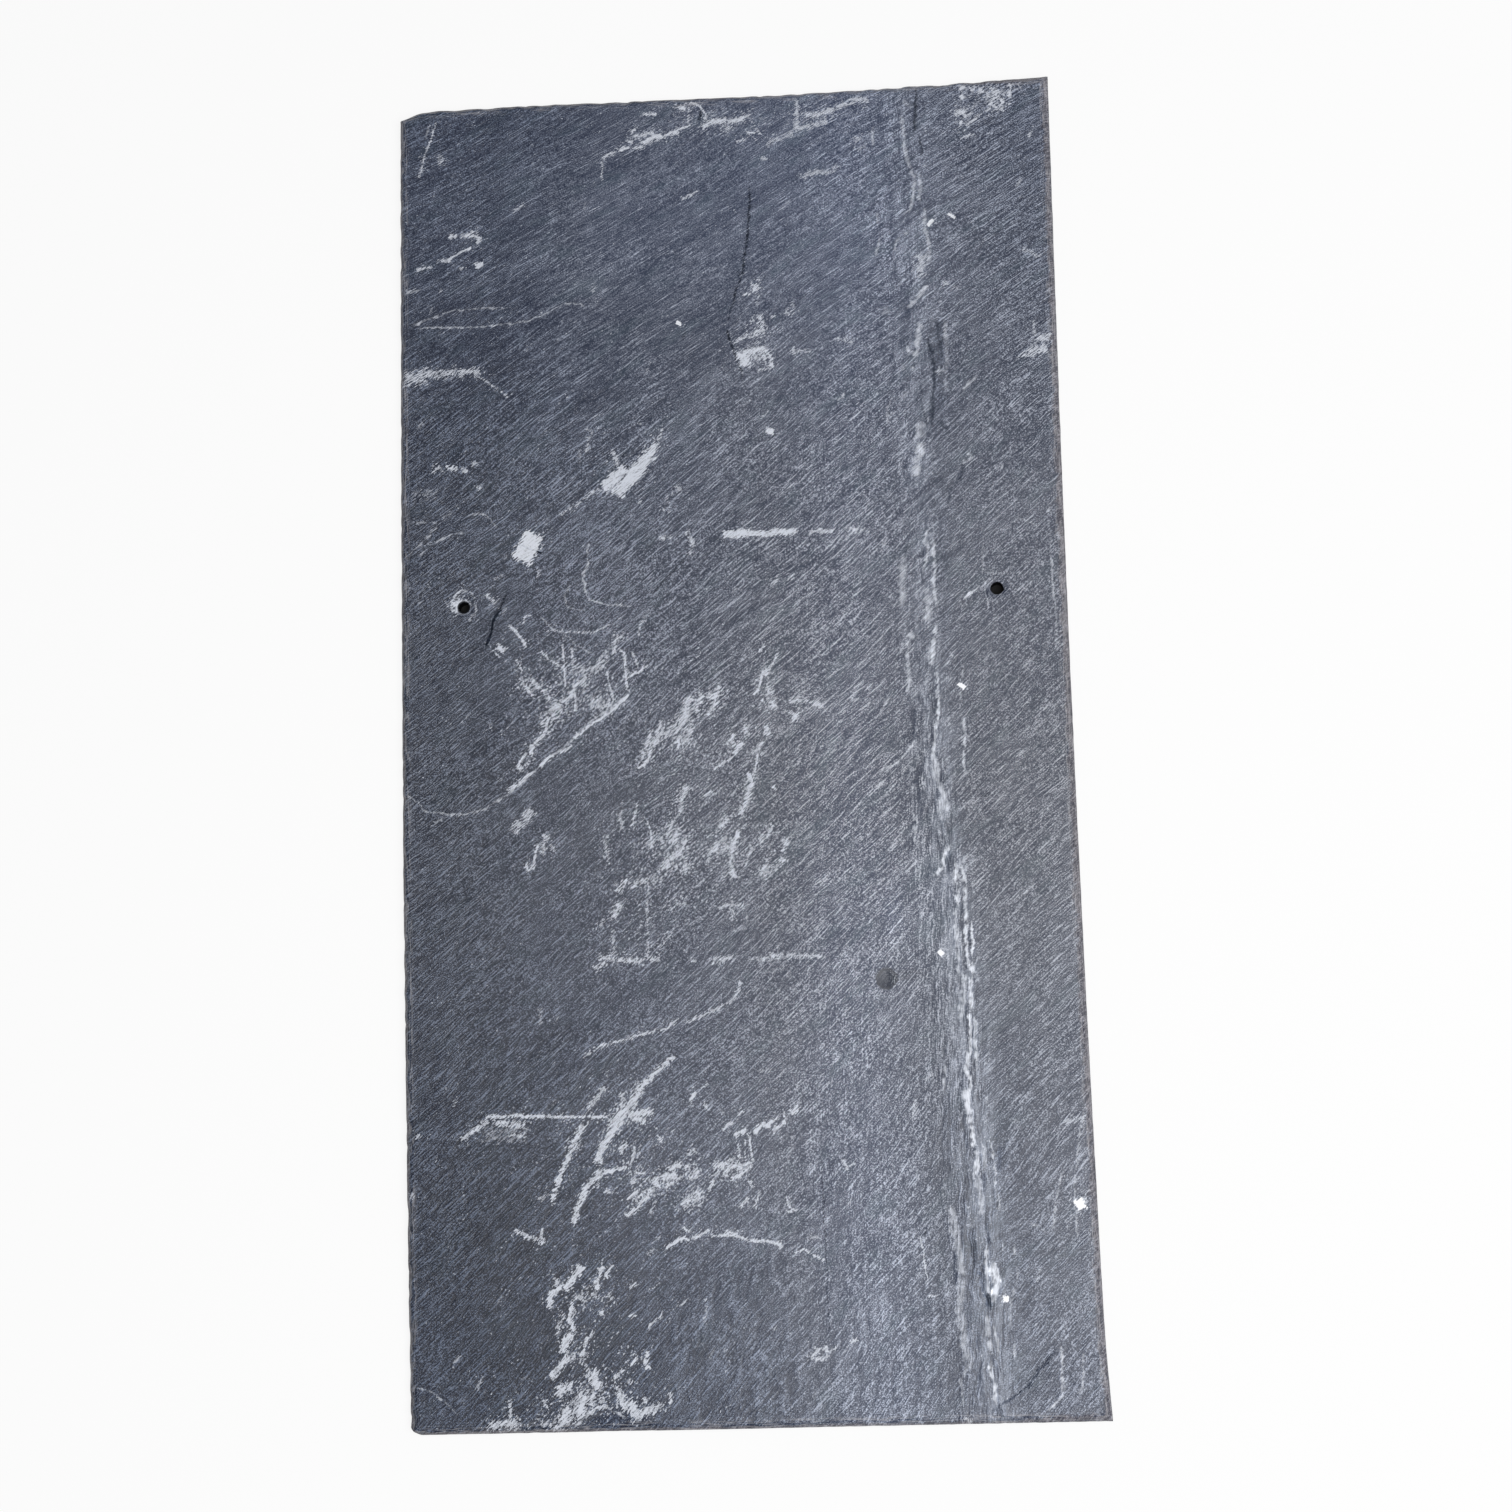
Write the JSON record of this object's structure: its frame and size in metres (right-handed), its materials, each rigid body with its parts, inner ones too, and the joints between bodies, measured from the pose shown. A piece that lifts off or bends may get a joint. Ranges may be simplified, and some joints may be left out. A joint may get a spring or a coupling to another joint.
{
  "type": "slate roof tile",
  "caption": "Natural slate roof tile with a riven, veined face, chipped dressed edges and punched nail holes for centre nailing.",
  "frame": {"origin": "middle of the flat bed, the side that faces down as the tile lies", "axes": "+Z out of the exposed riven face, +Y towards the head, +X to the right of the face as seen with the head up"},
  "size_m": [0.253, 0.5008, 0.0075],
  "materials": {
    "slate": "riven blue-grey slate, matt to satin, with pale scuffs and a brown-grey dressed edge"
  },
  "bodies": {
    "root": {"roof_slate": "slate"}
  },
  "joints": []
}
